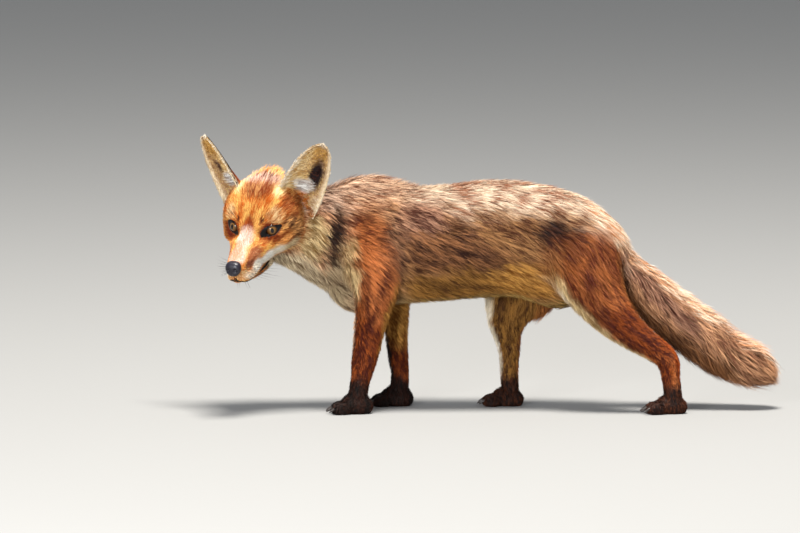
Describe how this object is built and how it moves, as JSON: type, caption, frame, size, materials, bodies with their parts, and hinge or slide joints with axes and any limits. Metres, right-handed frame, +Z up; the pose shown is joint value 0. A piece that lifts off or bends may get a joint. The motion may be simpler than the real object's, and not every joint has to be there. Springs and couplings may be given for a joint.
{
  "type": "red fox",
  "caption": "Still life-size model of a red fox in a thin summer coat, standing mid-stride with its head turned to its left and its tail hanging.",
  "frame": {"origin": "on the floor, under the middle of the fox's box", "axes": "+Z up; the fox faces -X, and its left side, to which its head is turned, is at -Y"},
  "size_m": [0.8322, 0.2041, 0.3928],
  "materials": {
    "coat": "matte fur, sandy over russet",
    "face": "short matte fur, orange-red with cream cheeks and throat",
    "ear": "short fur, cream inside and blackish behind",
    "stocking": "short matte fur, russet darkening to black",
    "brush": "long soft fur, sandy above and dark below",
    "nose": "moist black pebbled skin",
    "eye": "clear amber",
    "claw": "dark horn",
    "whisker": "stiff black hair"
  },
  "bodies": {
    "root": {"nose": "nose", "eye_left": "eye", "eye_right": "eye", "ear_left": "ear", "ear_right": "ear", "head": "face", "jaw": "face", "neck": "coat", "trunk": "coat", "tail": "brush", "tail_tip": "brush", "fore_left_upper": "coat", "fore_left_lower": "stocking", "fore_left_paw": "stocking", "fore_right_upper": "coat", "fore_right_lower": "stocking", "fore_right_paw": "stocking", "hind_left_upper": "coat", "hind_left_lower": "stocking", "hind_left_paw": "stocking", "hind_right_upper": "coat", "hind_right_lower": "stocking", "hind_right_paw": "stocking"}
  },
  "joints": []
}
